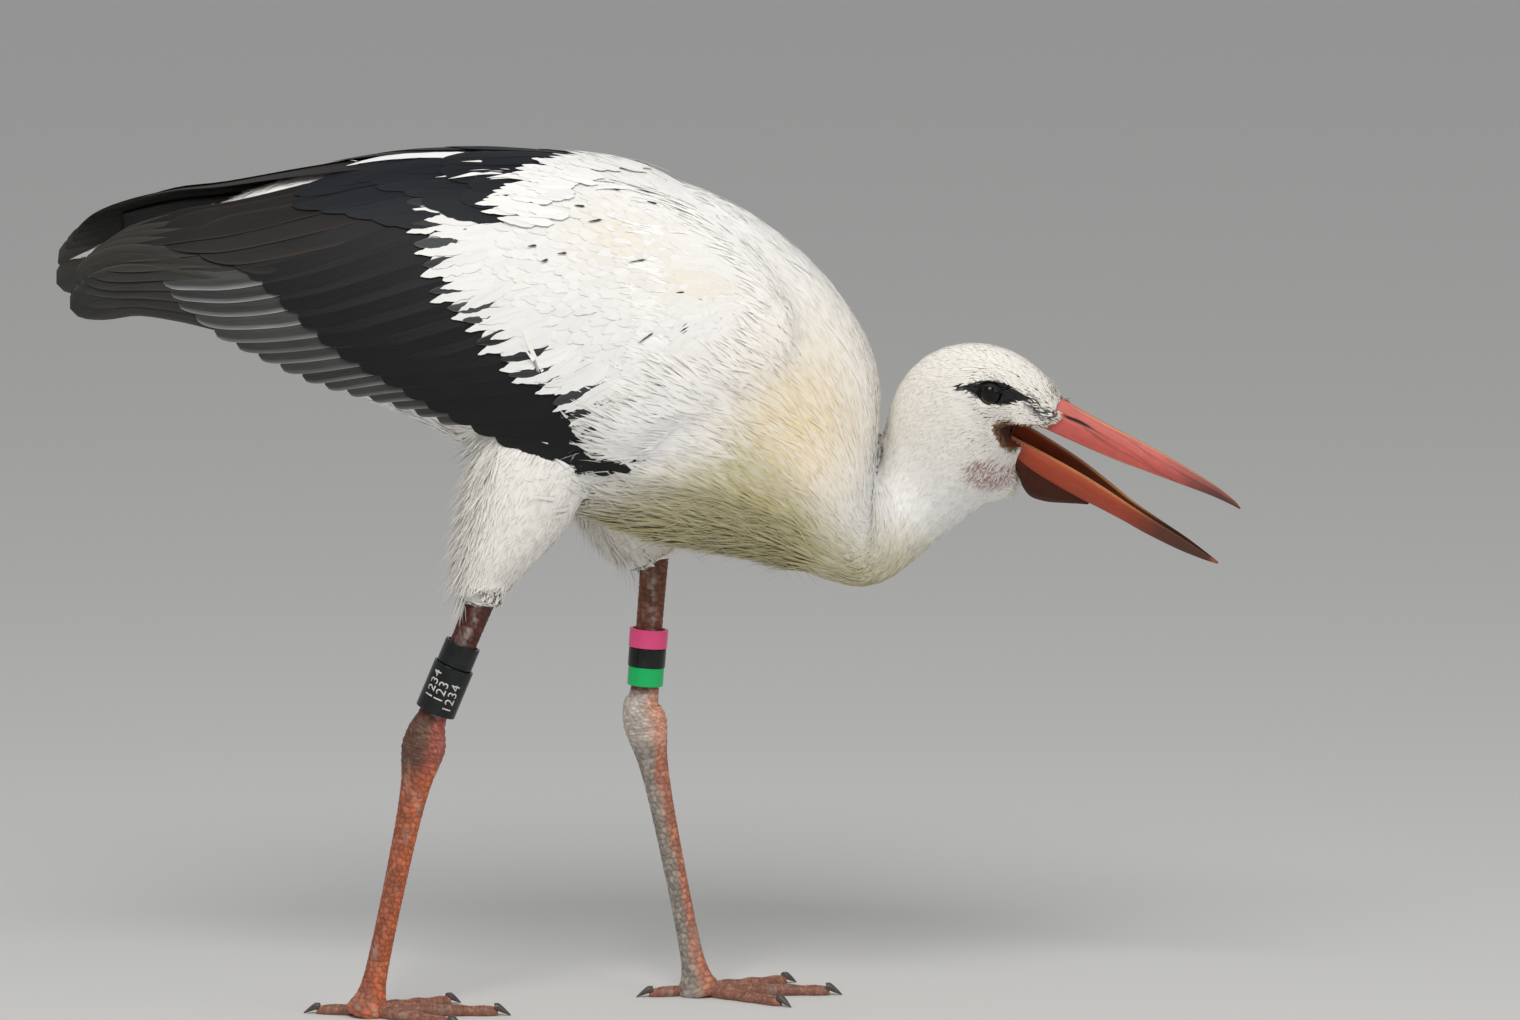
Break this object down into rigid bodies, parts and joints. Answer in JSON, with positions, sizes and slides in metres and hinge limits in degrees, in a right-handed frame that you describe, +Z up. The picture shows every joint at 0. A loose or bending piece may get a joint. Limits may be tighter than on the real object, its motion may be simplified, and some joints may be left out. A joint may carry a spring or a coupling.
{
  "type": "white stork",
  "caption": "Life-size white stork standing mid-stride with its head held low and its bill open, wings folded, rings on both shanks",
  "frame": {"origin": "on the floor, under the middle of the bird's bounding box", "axes": "+X is the way the bird faces, from tail to bill, +Y its left side, +Z up; the floor is Z = 0"},
  "size_m": [0.8802, 0.1972, 0.6387],
  "materials": {
    "white_plumage": "matte feathers",
    "black_plumage": "satin feathers",
    "bill_red": "satin horn",
    "throat_skin": "bare wrinkled skin",
    "eye": "wet gloss",
    "leg_skin": "scaly skin",
    "claw": "horn",
    "band_black": "satin",
    "band_pink": "satin",
    "band_green": "satin"
  },
  "bodies": {
    "root": {"band_left_black": "band_black", "band_left_green": "band_green", "band_left_pink": "band_pink", "band_right_collar_black": "band_black", "band_right_sleeve_black": "band_black", "bill_lower": "bill_red", "bill_upper": "bill_red", "claw_left_hind": "claw", "claw_left_inner": "claw", "claw_left_middle": "claw", "claw_left_outer": "claw", "claw_right_hind": "claw", "claw_right_inner": "claw", "claw_right_middle": "claw", "claw_right_outer": "claw", "eye_left": "eye", "eye_right": "eye", "head": "white_plumage", "neck_lower": "white_plumage", "neck_upper": "white_plumage", "shank_left": "leg_skin", "shank_right": "leg_skin", "tail": "white_plumage", "tarsus_left": "leg_skin", "tarsus_right": "leg_skin", "thigh_left": "white_plumage", "thigh_right": "white_plumage", "throat_pouch": "throat_skin", "toe_left_hind": "leg_skin", "toe_left_inner": "leg_skin", "toe_left_middle": "leg_skin", "toe_left_outer": "leg_skin", "toe_right_hind": "leg_skin", "toe_right_inner": "leg_skin", "toe_right_middle": "leg_skin", "toe_right_outer": "leg_skin", "trunk": "white_plumage", "wing_left_arm": "white_plumage", "wing_left_primaries": "black_plumage", "wing_left_secondaries": "black_plumage", "wing_right_arm": "white_plumage", "wing_right_primaries": "black_plumage", "wing_right_secondaries": "black_plumage"}
  },
  "joints": []
}
